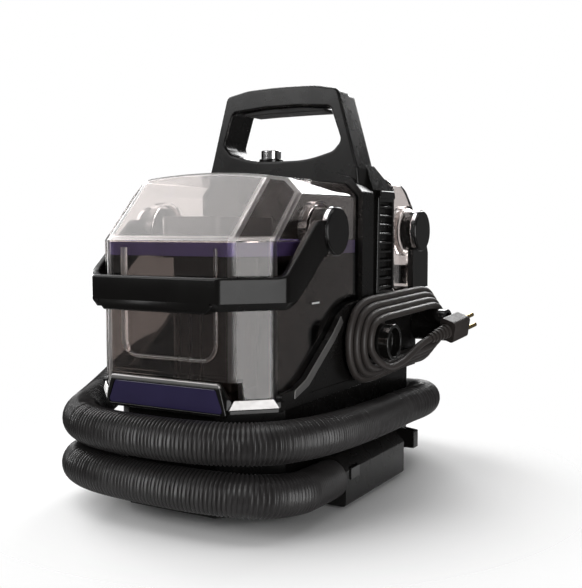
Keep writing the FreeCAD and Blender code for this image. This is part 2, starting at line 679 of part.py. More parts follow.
def make_tank_inside():
    """What stands inside the dirty tank: the suction stack, the float in its cage and the inlet duct."""
    low = size("tank_floor") + size("wall") + 0.2
    stack = slab("XY", [(-24, -142), (40, -142), (40, -96), (-24, -96)], 6, low, 226)
    stack = stack.cut(slab("XY", [(-21, -139), (37, -139), (37, -99), (-21, -99)], 4, low + 3, 227))
    keep(feature("suction_stack", stack), "suction_stack")
    head = slab("XY", [(-32, -148), (32, -148), (32, -54), (-32, -54)], 8, 226.4, 262)
    head = head.cut(slab("XY", [(-29, -145), (29, -145), (29, -57), (-29, -57)], 5, 225, 259))
    keep(feature("separator_hood", head), "separator_hood")
    cage = tube("float_cage", "Z", ("8", "-74"), "15", "12.6", "150", "224")
    keep(cage, "float_cage")
    keep(rod("shutoff_float", "Z", ("8", "-74"), "12", "152", "196"), "shutoff_float")


def make_pivots(prefix, pivot_y):
    """The fixed pivot of a bail on each side: a pin with its round cap, and the bright ring behind it."""
    pins = []
    rings = []
    centre = (pivot_y, size("pivot_z"))
    for sign in (1, -1):
        def span(near, far):
            return sorted((sign * near, sign * far))
        ring_in, ring_out = size("cap_in") + 0.1, size("cap_in") + 4.6
        pin = disc("X", centre, size("pin_radius"), *span(size("pocket_floor") + 0.2, ring_out + 1))
        cap = disc("X", centre, size("cap_radius") - 0.9, *span(ring_out + 0.1, size("cap_out")))
        cap = soften(cap, 1.6, lambda edge: at(edge, "X", sign * size("cap_out")))
        pins.append(pin.fuse(cap).removeSplitter())
        ring = disc("X", centre, size("cap_radius"), *span(ring_in, ring_out))
        ring = soften(ring, 1.0, lambda edge: at(edge, "X", sign * ring_in))
        rings.append(ring.cut(disc("X", centre, size("pin_radius") + 0.05, *span(90, 120))))
    keep(feature(prefix + "_pivot_pins", Part.makeCompound(pins)), prefix + "_pivot_pins")
    keep(feature(prefix + "_pivot_rings", Part.makeCompound(rings)), prefix + "_pivot_rings")


def hub(sign, pivot_y):
    """The round eye of a bail arm, which turns on the pivot pin."""
    low, high = sorted((sign * size("hub_in"), sign * size("hub_out")))
    centre = (pivot_y, size("pivot_z"))
    eye = disc("X", centre, size("hub_radius"), low, high)
    eye = soften(eye, 1.2, lambda edge: at(edge, "X", sign * size("hub_in")))
    return eye


def hub_bore(pivot_y):
    return disc("X", (pivot_y, size("pivot_z")), size("pin_radius") + size("fit"), -130, 130)


def bail_outline(inset):
    """The front bail's outer outline in plan, shrunk by an inset."""
    wide = size("bail_wide") - inset
    corner = size("front_pivot_y") - 87 + inset * 0.4
    return mirrored([(wide, size("front_pivot_y")), (wide, corner),
                     (size("bail_half") - inset * 0.4, size("bail_front") + inset)])


def make_front_bail():
    """Front bail: a straight bar with cut corners and two arms that rise to the pivots."""
    out = size("bail_front")
    thick = 11
    pivot = size("front_pivot_y")
    low, high = size("bail_low"), size("bail_high")
    radii = [0, 8, 8, 8, 8, 0]
    plan = slab("XY", bail_outline(0), radii, 120, 320)
    inner = mirrored([(size("bail_wide") - 8, pivot), (size("bail_wide") - 8, pivot - 84),
                      (size("bail_half") - 3, out + thick)])
    plan = plan.cut(slab("XY", inner, radii, 119, 321))
    plan = plan.cut(block((-150, 150), (pivot - 0.01, 100), (0, 400)))
    side = [(out - 1, low), (pivot - 80, low), (pivot - 57, 200), (pivot - 22, 229), (pivot + 8, 240),
            (pivot + 8, 262), (pivot - 34, 259), (pivot - 88, high), (out - 1, high)]
    bail = plan.common(slab("YZ", side, [0, 14, 20, 10, 3, 3, 14, 16, 0], -120, 120))

    rise = low + size("bail_bevel")
    foot = [VECTOR(x, y, low) for x, y in bail_outline(4.5)]
    full = [VECTOR(x, y, rise) for x, y in bail_outline(0)]
    bevelled = Part.makeLoft([Part.makePolygon(ring + ring[:1]) for ring in (foot, full)], True, True)
    bail = bail.common(bevelled.fuse(block((-150, 150), (-210, 0), (rise, 300))))
    grip = slab("XZ", [(-54, low - 2.5), (54, low - 2.5), (63, rise), (-63, rise)], 2, out, out + thick + 3)
    bail = bail.fuse(grip)
    for sign in (1, -1):
        bail = bail.fuse(hub(sign, pivot))
        under_cap = sorted((sign * (size("hub_out") + 0.05), sign * 130))
        bail = bail.cut(disc("X", (pivot, size("pivot_z")), size("cap_radius") + 0.7, *under_cap))
    bail = bail.cut(hub_bore(pivot)).removeSplitter()
    keep(feature("front_bail", bail), "front_bail")


# ---------------------------------------------------------------- clean tank
def clean_form(inset):
    """The clean tank's form, shrunk by an inset: a roof that falls to the back and cut rear corners."""
    half = size("half_width") - inset
    low = size("clean_floor") + inset
    top = size("clean_top") - inset
    corner = size("clean_corner") - inset * (2 - math.sqrt(2))
    front = size("clean_front") + inset
    rear = size("clean_rear") - inset
    section = slab("XZ", [(-half, low), (half, low), (half, top), (-half, top)],
                   [2, 2, size("clean_round") - inset, size("clean_round") - inset], front, rear)
    plan = slab("XY", [(-half, front), (half, front), (half, rear - corner), (half - corner, rear),
                       (corner - half, rear), (-half, rear - corner)], [2, 2, 3, 3, 3, 3], 150, 320)
    roof = [(front, low), (rear, low), (rear, 264 - inset), (130, 291 - inset), (112, top), (front, top)]
    return section.common(plan).common(slab("YZ", roof, [0, 0, 10, 30, 20, 0], -100, 100))


def make_clean_tank():
    wall = size("wall")
    pivot = size("rear_pivot_y")
    outer = clean_form(0).fuse(disc("Z", (0, 134), size("neck_radius"), 262, 290))
    inner = clean_form(wall)
    for hollow in pivot_pockets(pivot, 0):
        outer = outer.cut(hollow)
    for island in pivot_pockets(pivot, wall):
        inner = inner.cut(island)
    shell = outer.cut(inner).cut(disc("Z", (0, 134), 17, 258, 320))
    shell = shell.cut(disc("Z", (0, 134), 22.5, 290, 320)).cut(disc("Z", (-50, 130), 5.2, 180, 190))
    keep(feature("clean_tank_shell", shell.removeSplitter()), "clean_tank_shell")
    valve = disc("Z", (-50, 130), 5, 184.6, 196).fuse(disc("Z", (-50, 130), 8, 187.6, 191))
    keep(feature("tank_valve", valve), "tank_valve")
    skirt = disc("Z", (0, 134), 16.4, 284, 290.3)
    cap = skirt.fuse(disc("Z", (0, 134), 21, 290.4, 297)).fuse(disc("Z", (0, 134), 16.4, 290.2, 290.5))
    cap = cap.fuse(block((-18, 18), (131, 137), (296.9, 300)))
    keep(feature("fill_cap", cap.removeSplitter()), "fill_cap")


def make_rear_bail():
    """Rear bail: arms that hang from the pivots and turn back to a bar behind the clean tank."""
    pivot = size("rear_pivot_y")
    back = size("rear_bail_back")
    wide = size("rear_bail_wide")
    low = size("rear_bail_low")
    elbow = pivot + 43
    plan = mirrored([(wide, pivot - 30), (wide, elbow), (wide - 33, back)])
    inner = mirrored([(wide - 6.5, pivot - 31), (wide - 6.5, elbow - 3), (wide - 36, back - 8.5)])
    radii = [0, 6, 6, 6, 6, 0]
    shape = slab("XY", plan, radii, 150, 260).cut(slab("XY", inner, radii, 149, 261))
    side = [(pivot - 4, 247), (pivot + 18, 247), (pivot + 35, 238), (pivot + 46, 214), (back + 1, low + 20),
            (back + 1, low + 2), (pivot + 24, low), (pivot - 4, low)]
    bail = shape.common(slab("YZ", side, [0, 0, 8, 16, 0, 0, 8, 3], -120, 120))
    for sign in (1, -1):
        bail = bail.fuse(hub(sign, pivot))
    keep(feature("rear_bail", bail.cut(hub_bore(pivot)).removeSplitter()), "rear_bail")


# ---------------------------------------------------------------- hose dock
HOSE_ROUTE = [
    (108.6, -85.2, 27), (108.6, -120, 27), (111, -157, 31), (96, -192, 36), (50, -207, 38), (-10, -209, 39),
    (-66, -204, 39), (-106, -180, 38), (-122, -135, 36), (-125, -70, 34), (-124, -5, 33), (-124, 60, 32),
    (-120, 122, 33), (-103, 172, 36), (-60, 200, 41), (0, 204, 48), (58, 198, 56), (100, 168, 62),
    (118, 120, 66), (121, 58, 70), (121, -8, 70), (120, -75, 72), (116, -135, 75), (96, -184, 77),
    (50, -206, 78), (-10, -209, 78), (-66, -203, 78), (-106, -178, 79), (-119.5, -138, 85), (-119, -106, 101),
    (-117.5, -76, 118), (-116.5, -44, 128), (-116.5, -8.3, 128)]


def make_dock():
    """Low block on the right side that the suction hose plugs into from the front."""
    front, rear = size("dock_front"), size("dock_rear")
    out = size("dock_out")
    low = size("chassis_half") + 0.3
    section = [(low, 3), (out, 3), (out, 36), (out - 12, 48), (low, 48)]
    dock = slab("XZ", section, [0, 3, 3, 4, 0], front, rear)
    socket = (HOSE_ROUTE[0][0], HOSE_ROUTE[0][2])
    dock = dock.cut(disc("Y", socket, 13.9, front - 1, front + 46))
    dock = dock.cut(block((out - 2.6, out + 1), (front + 8, front + 26), (26, 38)))
    keep(feature("hose_dock", dock), "hose_dock")
    button = block((out - 0.6, out + 1.6), (front + 8.4, front + 25.6), (26.4, 37.2))
    keep(feature("dock_latch", soften(button, 0.8, lambda edge: at(edge, "X", out + 1.6))), "dock_latch")
    cuff = disc("Y", socket, 13.5, front, front + 42)
    cuff = cuff.cut(disc("Y", socket, 11, front + 4, front + 43))
    keep(feature("hose_cuff", cuff), "hose_cuff")


# ---------------------------------------------------------------- wand
WAND_X, WAND_Z = -116.5, 128


def make_wand():
    """Spray wand parked along the left side: two handle shells, trigger, neck, clear nozzle and brush."""
    centre = (WAND_X, WAND_Z)
    handle = disc("Y", centre, 17.5, -8, 112)
    handle = soften(handle, 3, lambda edge: at(edge, "Y", 112))
    handle = handle.cut(disc("Y", centre, 14.5, -9, 108))
    handle = handle.cut(block((WAND_X - 5, WAND_X + 5), (18, 62), (WAND_Z + 8, WAND_Z + 30)))
    keep(feature("wand_handle_outer", handle.common(block((-200, WAND_X - 0.15), (-50, 250), (0, 300)))),
         "wand_handle_outer")
    keep(feature("wand_handle_inner", handle.common(block((WAND_X + 0.15, 0), (-50, 250), (0, 300)))),
         "wand_handle_inner")
    trigger = slab("YZ", [(20, WAND_Z + 10), (60, WAND_Z + 10), (60, WAND_Z + 20), (24, WAND_Z + 26)], 2,
                   WAND_X - 4.5, WAND_X + 4.5)
    eye = disc("X", (57, WAND_Z + 15), 4, WAND_X - 4.8, WAND_X + 4.8)
    keep(feature("wand_trigger", trigger.fuse(eye).removeSplitter()), "wand_trigger")
    low, high = 112.4, 188
    outline = [(low, WAND_Z - 12), (128, WAND_Z - 12), (high, WAND_Z - 34),
               (high, WAND_Z + 32), (128, WAND_Z + 12), (low, WAND_Z + 12)]
    head = slab("YZ", outline, [1, 8, 2, 2, 8, 1], WAND_X - 9, WAND_X + 9)
    hollow = [(low - 1, WAND_Z - 9.5), (128.6, WAND_Z - 9.5), (high + 1, WAND_Z - 31.5),
              (high + 1, WAND_Z + 29.5), (128.6, WAND_Z + 9.5), (low - 1, WAND_Z + 9.5)]
    head = head.cut(slab("YZ", hollow, [0, 8, 0, 0, 8, 0], WAND_X - 6.6, WAND_X + 6.6))
    keep(feature("wand_nozzle", head), "wand_nozzle")
    brush = block((WAND_X - 6.2, WAND_X + 6.2), (high - 4, high + 5), (WAND_Z - 28.5, WAND_Z + 26.5))
    keep(feature("wand_brush", brush), "wand_brush")
    clips = []
    for y in (6, 84):
        ring = disc("Y", centre, 20.2, y, y + 12).cut(disc("Y", centre, 17.8, y - 1, y + 13))
        mouth = block((-200, WAND_X - 4), (y - 1, y + 13), (0, 300))
        arm = block((WAND_X + 18.2, -size("fairing_out") - 0.05), (y, y + 12), (WAND_Z - 9, WAND_Z + 9))
        clips.append(ring.cut(mouth).fuse(arm).removeSplitter())
    keep(feature("wand_clips", Part.makeCompound(clips)), "wand_clips")


# ---------------------------------------------------------------- cord posts and cords
def cup(centre, radius, low, high):
    """A round post whose outer end is hollow."""
    post = disc("X", centre, radius, low, high)
    post = soften(post, 1.2, lambda edge: at(edge, "X", high))
    return post.cut(disc("X", centre, radius - 3.5, high - 9, high + 1))


def make_cord_posts():
    """The fixed front post, the pin the rear hook turns on, the gland of the cord, and the hook itself."""
    low = size("fairing_out") + 0.1
    front = (size("post_front_y"), size("post_front_z"))
    rear = (size("post_rear_y"), size("post_rear_z"))
    radius = size("post_radius")
    out = size("post_out")
    pin_radius = 6
    pin_end = out - 13
    posts = [cup(front, radius, low, out), disc("X", rear, pin_radius, low, pin_end)]
    keep(feature("cord_posts", Part.makeCompound(posts)), "cord_posts")
    keep(feature("cord_gland", disc("X", (front[0] + 44, front[1] + 1), 5.5, low, low + 3.6)), "cord_gland")
    hook = cup(rear, radius, size("fairing_rim") + 0.3, out)
    tip = rear[0] + size("lip_reach")
    shape = [(rear[0], rear[1] - 11), (tip, rear[1] - 8), (tip, rear[1] + 8), (rear[0], rear[1] + 11)]
    lip = slab("YZ", shape, [0, 7, 7, 0], out - 5, out)
    lip = lip.cut(disc("X", rear, radius - 3.5, 100, 140))
    hook = hook.fuse(lip).cut(disc("X", rear, pin_radius + size("fit"), 90, pin_end + 0.3))
    keep(feature("cord_hook", hook.removeSplitter()), "cord_hook")


def stadium(radius, low, high):
    """A disc stretched between the two post axes, as a solid along X."""
    front = VECTOR(low, size("post_front_y"), size("post_front_z"))
    rear = VECTOR(low, size("post_rear_y"), size("post_rear_z"))
    along = (rear - front).normalize()
    up = VECTOR(1, 0, 0).cross(along)
    lines = [Part.LineSegment(front + up * radius, rear + up * radius).toShape(),
             Part.Arc(rear + up * radius, rear + along * radius, rear - up * radius).toShape(),
             Part.LineSegment(rear - up * radius, front - up * radius).toShape(),
             Part.Arc(front - up * radius, front - along * radius, front + up * radius).toShape()]
    return Part.Face(Part.Wire(lines)).extrude(VECTOR(high - low, 0, 0))


def make_cord_coil():
    """The wound power cord as one solid: a stepped ring, each turn further out and smaller."""
    d = size("cord_diameter")
    inner = size("post_radius") + 0.4
    turns = 4
    coil = None
    for turn in range(turns):
        outer = inner + d + (turns - 1 - turn) * size("wrap_fall")
        ring = stadium(outer, size("wrap_in"), size("wrap_in") + d + turn * size("wrap_step"))
        coil = ring if coil is None else coil.fuse(ring)
    coil = coil.cut(stadium(inner, 90, 140))
    keep(feature("power_cord_coil", coil.removeSplitter()), "power_cord_coil")


def route_tube(points, radius, label):
    """A round tube along straight runs joined by tangent arcs; prints each arc's radius."""
    edges = []
    length = 0.0
    start = points[0]
    radii = []
    for number in range(1, len(points) - 1):
        corner = points[number]
        back = points[number - 1] - corner
        ahead = points[number + 1] - corner
        turn = math.pi - back.getAngle(ahead)
        reach = 0.45 * min(back.Length, ahead.Length)
        bend = reach / math.tan(turn / 2)
        back.normalize()
        ahead.normalize()
        enter = corner + back * reach
        leave = corner + ahead * reach
        middle = corner + (back + ahead).normalize() * (bend / math.cos(turn / 2) - bend)
        edges.append(Part.LineSegment(start, enter).toShape())
        edges.append(Part.Arc(enter, middle, leave).toShape())
        length += start.distanceToPoint(enter) + bend * turn
        start = leave
        radii.append(bend)
    edges.append(Part.LineSegment(start, points[-1]).toShape())
    length += start.distanceToPoint(points[-1])
    path = Part.Wire(edges)
    profile = Part.Wire(Part.Circle(points[0], (points[1] - points[0]), radius).toShape())
    solid = path.makePipeShell([profile], True, False)
    print("%s: length %.0f mm, volume ratio %.4f, radii %s" % (
        label, length, solid.Volume / (math.pi * radius ** 2 * length), [round(r) for r in radii]))
    return solid


def make_hose():
    points = [VECTOR(*point) for point in HOSE_ROUTE]
    hose = route_tube(points, size("hose_diameter") / 2, "suction hose")
    keep(feature("suction_hose", hose), "suction_hose")


CORD_LEAD_ROUTE = [(125.7, 4, 116), (126.5, 30, 116), (128, 54, 123), (131, 78, 134), (135.2, 92, 137)]


def make_cord_lead():
    points = [VECTOR(*point) for point in CORD_LEAD_ROUTE]
    lead = route_tube(points, size("cord_diameter") / 2, "cord lead")
    keep(feature("power_cord_lead", lead), "power_cord_lead")
    along = (points[-1] - points[-2]).normalize()
    start = points[-1] + along * 0.1
    relief = Part.makeCone(5.2, 8.2, 30, start, along)
    keep(feature("plug_strain_relief", relief), "plug_strain_relief")
    face = start + along * 30.1
    plug = Part.makeBox(20, 24, 27, VECTOR(-10, -12, 0))
    plug = soften(plug, 4, lambda edge: abs(edge.tangentAt(edge.FirstParameter).z) > 0.9)
    pins = []
    for x, y in ((-5.5, 4), (5.5, 4), (0, -6)):
        pins.append(Part.makeCylinder(2.3, 19, VECTOR(x, y, 27.1)))
    turn = FreeCAD.Placement(face, FreeCAD.Rotation(VECTOR(0, 0, 1), along))
    keep(feature("mains_plug", plug, turn), "mains_plug")
    keep(feature("plug_prongs", Part.makeCompound(pins), turn), "plug_prongs")


# ---------------------------------------------------------------- assembly
for step in (make_chassis, make_feet, make_floor_screws, make_badge, make_fairings, make_trim,
             make_rear_housing, make_spine, make_grip, make_vents, make_power_button, make_motor,
             make_pump, make_dirty_tank, make_tank_inside, make_front_bail, make_clean_tank,
             make_rear_bail, make_dock, make_wand, make_cord_posts, make_cord_coil, make_hose,
             make_cord_lead):
    step()
make_pivots("front", size("front_pivot_y"))
make_pivots("rear", size("rear_pivot_y"))

DOC.recompute()
for item in DOC.Objects:
    if {"Invalid", "Error"} & set(item.State):
        raise RuntimeError("%s failed to recompute" % item.Label)
for node in NODES:
    if node.Shape.isNull() or not node.Shape.isValid():
        raise RuntimeError("%s has no valid shape" % node.Label)
    if not node.Shape.Solids:
        raise RuntimeError("%s holds no solid" % node.Label)

os.makedirs("parts", exist_ok=True)
for node in NODES:
    node.Shape.exportStep("parts/%s.step" % node.Label)
print("%d nodes written" % len(NODES))
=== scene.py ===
import json
import math

import bmesh
import bpy
from mathutils import Matrix, Vector


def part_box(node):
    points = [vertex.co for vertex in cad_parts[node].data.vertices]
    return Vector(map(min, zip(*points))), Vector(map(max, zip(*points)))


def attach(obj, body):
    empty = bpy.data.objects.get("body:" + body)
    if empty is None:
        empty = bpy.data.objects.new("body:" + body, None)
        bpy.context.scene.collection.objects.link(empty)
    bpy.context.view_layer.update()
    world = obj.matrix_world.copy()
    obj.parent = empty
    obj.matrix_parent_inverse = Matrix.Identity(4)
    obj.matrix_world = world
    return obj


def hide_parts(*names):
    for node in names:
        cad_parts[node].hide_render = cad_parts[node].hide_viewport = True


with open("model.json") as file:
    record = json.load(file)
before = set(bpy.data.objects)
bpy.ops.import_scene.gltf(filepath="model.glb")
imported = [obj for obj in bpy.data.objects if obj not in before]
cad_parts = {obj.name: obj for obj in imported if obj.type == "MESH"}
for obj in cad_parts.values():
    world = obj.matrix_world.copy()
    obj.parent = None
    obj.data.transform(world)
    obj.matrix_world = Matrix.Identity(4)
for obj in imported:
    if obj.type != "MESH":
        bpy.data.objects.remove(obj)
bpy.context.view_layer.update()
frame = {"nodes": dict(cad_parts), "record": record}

# Portable spot extractor. Metres; X to the machine's right, Y to its back, Z up, floor at z = 0.
MM = 0.001
NODES = frame["nodes"]
SLOT_OF = {part["node"]: part["material_slot"] for part in frame["record"]["subparts"]}
BODY_OF = {node: body for body, nodes in frame["record"]["behaviour"]["bodies"].items() for node in nodes}


# ---------------------------------------------------------------- materials
def shader(name, **sockets):
    """A material with one Principled shader; each value goes straight onto the shader's own socket."""
    material = bpy.data.materials.new(name)
    material.use_nodes = True
    principled = material.node_tree.nodes["Principled BSDF"]
    for socket, value in sockets.items():
        principled.inputs[socket.replace("_", " ")].default_value = value
    return material, principled


def add(material, kind, **settings):
    """A new node in a material, with its properties or input values set."""
    node = material.node_tree.nodes.new("ShaderNode" + kind)
    for key, value in settings.items():
        if key in node.inputs:
            node.inputs[key].default_value = value
        else:
            setattr(node, key, value)
    return node


def wire(material, out, into):
    material.node_tree.links.new(out, into)


def place_of(material):
    """Object coordinates, which stay with a piece when its body moves."""
    return add(material, "TexCoord").outputs["Object"]


def noise(material, scale, detail=3.0, stretch=None):
    """A noise texture in object space; stretch scales the three axes."""
    texture = add(material, "TexNoise", Scale=scale, Detail=detail)
    place = place_of(material)
    if stretch:
        mapping = add(material, "Mapping")
        mapping.inputs["Scale"].default_value = stretch
        wire(material, place, mapping.inputs["Vector"])
        place = mapping.outputs["Vector"]
    wire(material, place, texture.inputs["Vector"])
    return texture.outputs["Fac"]


def spread(material, value, low, high):
    """Maps the middle of a 0 to 1 value onto low to high."""
    ranged = add(material, "MapRange")
    for socket, number in (("From Min", 0.3), ("From Max", 0.7), ("To Min", low), ("To Max", high)):
        ranged.inputs[socket].default_value = number
    wire(material, value, ranged.inputs["Value"])
    return ranged.outputs["Result"]


def tint(material, value, dark, light):
    """Blends two colours by a 0 to 1 value."""
    ramp = add(material, "ValToRGB")
    ramp.color_ramp.elements[0].position = 0.3
    ramp.color_ramp.elements[1].position = 0.7
    ramp.color_ramp.elements[0].color = (*dark, 1)
    ramp.color_ramp.elements[1].color = (*light, 1)
    wire(material, value, ramp.inputs["Fac"])
    return ramp.outputs["Color"]


def bump(material, principled, height, distance, strength=1.0, socket="Normal"):
    """Raises the surface by a height texture; distance is in metres."""
    bumped = add(material, "Bump", Distance=distance, Strength=strength)
    wire(material, height, bumped.inputs["Height"])
    wire(material, bumped.outputs["Normal"], principled.inputs[socket])


def moulded(name, dark, light, rough, grain=0.00003, grain_scale=2600, coat=0.0, shine=0.5):
    """Injection-moulded plastic: fine grain, faint colour drift and uneven gloss."""
    material, principled = shader(name, Coat_Weight=coat, Coat_Roughness=0.08, Specular_IOR_Level=shine)
    wire(material, tint(material, noise(material, 22), dark, light), principled.inputs["Base Color"])
    wire(material, spread(material, noise(material, 34, 5), *rough), principled.inputs["Roughness"])
    bump(material, principled, noise(material, grain_scale, 2), grain, 0.6)
    return material


def clear(name, colour, rough):
    """Clear moulded plastic with a slight flow in its thickness; lamps reach through it."""
    material, principled = shader(name, Base_Color=(*colour, 1), IOR=1.46, Transmission_Weight=1.0)
    wire(material, spread(material, noise(material, 18, 4), *rough), principled.inputs["Roughness"])
    bump(material, principled, noise(material, 14, 2, (1, 1, 0.35)), 0.0002, 0.3)
    through = add(material, "BsdfTransparent", Color=(*[channel ** 0.5 for channel in colour], 1))
    path = add(material, "LightPath")
    mix = add(material, "MixShader")
    out = next(node for node in material.node_tree.nodes if node.type == "OUTPUT_MATERIAL")
    wire(material, path.outputs["Is Shadow Ray"], mix.inputs[0])
    wire(material, principled.outputs[0], mix.inputs[1])
    wire(material, through.outputs[0], mix.inputs[2])
    wire(material, mix.outputs[0], out.inputs["Surface"])
    return material


def metal(name, dark, light, rough, brushed=None):
    """Bare or plated metal; brushed stretches its fine scratches along one axis."""
    material, principled = shader(name, Metallic=1.0)
    wire(material, tint(material, noise(material, 40), dark, light), principled.inputs["Base Color"])
    streaks = noise(material, 420, 4, brushed or (1, 1, 1))
    wire(material, spread(material, streaks, *rough), principled.inputs["Roughness"])
    bump(material, principled, streaks, 0.00001, 0.4)
    return material


def jacket(name, dark, light, rough, scale):
    """Soft rubber or vinyl: matte, slightly dusty, with a fine pebble."""
    material, principled = shader(name, Sheen_Weight=0.06, Sheen_Roughness=0.4)
    wire(material, tint(material, noise(material, 60, 5), dark, light), principled.inputs["Base Color"])
    wire(material, spread(material, noise(material, 90, 4), *rough), principled.inputs["Roughness"])
    bump(material, principled, noise(material, scale, 2), 0.00005, 0.5)
    return material


MATERIALS = {
    "black_plastic": moulded("satin_black_plastic", (0.005, 0.0046, 0.0044), (0.009, 0.0084, 0.008),
                             (0.22, 0.32), shine=0.3),
    "gloss_black": moulded("gloss_black_plastic", (0.004, 0.0037, 0.0035), (0.007, 0.0065, 0.006),
                           (0.10, 0.18), 0.00001, 1800, 0.25),
    "smoke_plastic": clear("smoke_clear_plastic", (0.72, 0.68, 0.665), (0.01, 0.035)),
    "clear_plastic": clear("clear_plastic", (0.74, 0.70, 0.685), (0.015, 0.045)),
    "purple_plastic": moulded("violet_plastic", (0.026, 0.020, 0.066), (0.033, 0.026, 0.084), (0.14, 0.24),
                              0.00001, 1600, 0.3),
    "bright_trim": metal("bright_plating", (0.62, 0.61, 0.62), (0.78, 0.77, 0.78), (0.12, 0.22)),
    "dark_plastic": moulded("umber_black_plastic", (0.016, 0.012, 0.011), (0.026, 0.020, 0.018),
                            (0.28, 0.42)),
    "pale_plastic": moulded("pale_grey_plastic", (0.42, 0.41, 0.39), (0.52, 0.50, 0.48), (0.35, 0.5)),
    "black_rubber": jacket("black_rubber", (0.010, 0.010, 0.010), (0.018, 0.017, 0.017), (0.5, 0.68), 1500),
    "cord_rubber": jacket("cord_jacket", (0.030, 0.025, 0.023), (0.044, 0.037, 0.034), (0.38, 0.52), 1900),
    "hose_vinyl": jacket("hose_vinyl", (0.017, 0.0155, 0.0155), (0.027, 0.025, 0.025), (0.30, 0.44), 1200),
    "steel": metal("zinc_plated_steel", (0.42, 0.42, 0.43), (0.58, 0.58, 0.60), (0.25, 0.4), (1, 1, 0.05)),
    "painted_steel": moulded("painted_steel", (0.12, 0.12, 0.125), (0.16, 0.16, 0.165), (0.3, 0.45),
                             0.00005, 700),
    "aluminium": metal("pressed_aluminium", (0.62, 0.62, 0.63), (0.75, 0.75, 0.76), (0.22, 0.35)),
    "brass": metal("brass", (0.60, 0.44, 0.20), (0.75, 0.58, 0.30), (0.15, 0.28)),
    "bristle": moulded("nylon_bristle", (0.010, 0.010, 0.012), (0.020, 0.020, 0.024), (0.3, 0.45)),
}
# a few pieces wear their own shade of their slot
OWN_SHADE = {
    "dirty_tank_bucket": clear("smoke_deep_plastic", (0.32, 0.285, 0.27), (0.02, 0.05)),
    "trim_strips": metal("satin_silver_trim", (0.40, 0.39, 0.385), (0.48, 0.47, 0.465), (0.42, 0.50)),
    "tank_seal_band": moulded("violet_seal", (0.16, 0.13, 0.42), (0.20, 0.16, 0.50), (0.3, 0.4)),
    "front_bail": moulded("bail_black_plastic", (0.005, 0.0046, 0.0044), (0.008, 0.0075, 0.007),
                          (0.2, 0.28), shine=0.22),
}
# painted highlight: lighter, rougher clear plastic in place of the highlights on ridges, window rim and stack
# ribs
PAINTED_HIGHLIGHT = clear("smoke_painted_highlight_plastic", (0.90, 0.87, 0.86), (0.35, 0.45))
# pieces whose rounded ridges wear the painted highlight
PAINTED_HIGHLIGHT_NODES = {"dirty_tank_lid", "dirty_tank_bucket"}
PRINT_WHITE = moulded("pad_print_white", (0.74, 0.74, 0.73), (0.82, 0.82, 0.81), (0.4, 0.55))


# ---------------------------------------------------------------- mesh helpers
def piece(name, mesh, body, slot, *replaced, material=None):
    """Makes a visible piece that rides on a body, wears a slot's material and stands for CAD nodes."""
    thing = bpy.data.objects.new(name, mesh)
    bpy.context.scene.collection.objects.link(thing)
    mesh.materials.clear()
    mesh.materials.append(material or MATERIALS[slot])
    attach(thing, body)
    if replaced:
        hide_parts(*replaced)
    return thing


SHARP_ANGLE = 32
SOFT_ANGLE = 50
ROUND_ANGLE = 34
FACE_WEIGHT = 80


def smooth(mesh, angle=SHARP_ANGLE):
    """Smooth shading that stays crisp where faces meet at more than an angle, in degrees."""
    mesh.shade_smooth()
    mesh.set_sharp_from_angle(angle=math.radians(angle))


def cleaned(node):
    """A copy of a CAD node's mesh with its flat faces whole again."""
    work = bmesh.new()
    work.from_mesh(NODES[node].data)
    bmesh.ops.remove_doubles(work, verts=work.verts, dist=2e-6)
    bmesh.ops.dissolve_limit(work, angle_limit=math.radians(0.6), verts=work.verts, edges=work.edges)
    mesh = bpy.data.meshes.new(node + "_shape")
    work.to_mesh(mesh)
    work.free()
    return mesh


def rounded_ridges(mesh, reach, softest, sharpest, behind):
    """Rounds the outer ridges of a piece: those between two angles and in front of a place in Y."""
    work = bmesh.new()
    work.from_mesh(mesh)
    band = work.faces.layers.int.new("band")
    ridges = [edge for edge in work.edges if len(edge.link_faces) == 2
              and softest < math.degrees(edge.calc_face_angle_signed()) < sharpest
              and max(vert.co.y for vert in edge.verts) < behind]
    made = bmesh.ops.bevel(work, geom=ridges, offset=reach, segments=4, profile=0.5, affect="EDGES",
                           clamp_overlap=False)
    for face in made["faces"]:
        face[band] = 1
    work.to_mesh(mesh)
    work.free()


def painted_highlight_ridges(mesh, material):
    """Gives the rounded ridges a second material: a painted highlight in lighter, rougher clear plastic."""
    mesh.materials.append(material)
    for face, mark in zip(mesh.polygons, mesh.attributes["band"].data):
        face.material_index = mark.value


def dress(node, bevel):
    """A CAD node's own shape, with its edges rounded and its flat faces shaded flat."""
    mesh = cleaned(node)
    if node in RIDGES:
        rounded_ridges(mesh, *RIDGES[node])
    thing = piece(node + "_visual", mesh, BODY_OF[node], SLOT_OF[node], node, material=OWN_SHADE.get(node))
    # painted highlight on the rounded ridges of these pieces
    if node in PAINTED_HIGHLIGHT_NODES:
        painted_highlight_ridges(mesh, PAINTED_HIGHLIGHT)
    smooth(thing.data, SOFT_ANGLE if node in SOFT else SHARP_ANGLE)
    if bevel:
        rounding = thing.modifiers.new("edge_round", "BEVEL")
        rounding.width = bevel
        rounding.segments = 3
        rounding.limit_method = "ANGLE"
        rounding.angle_limit = math.radians(ROUND_ANGLE)
        rounding.use_clamp_overlap = True
    if node not in SOFT:
        even = thing.modifiers.new("flat_faces", "WEIGHTED_NORMAL")
        even.keep_sharp = True
        even.weight = FACE_WEIGHT


def spline_path(points, turns=24):
    """Closely spaced points read from the smooth NURBS spline that a list of points controls."""
    curve = bpy.data.curves.new("route", "CURVE")
    curve.dimensions = "3D"
    nurbs(curve, points)
    curve.splines[0].resolution_u = turns
    holder = bpy.data.objects.new("route", curve)
    bpy.context.scene.collection.objects.link(holder)
    line = bpy.data.meshes.new_from_object(holder)
    path = [vertex.co.copy() for vertex in line.vertices]
    bpy.data.objects.remove(holder)
    bpy.data.meshes.remove(line)
    return path


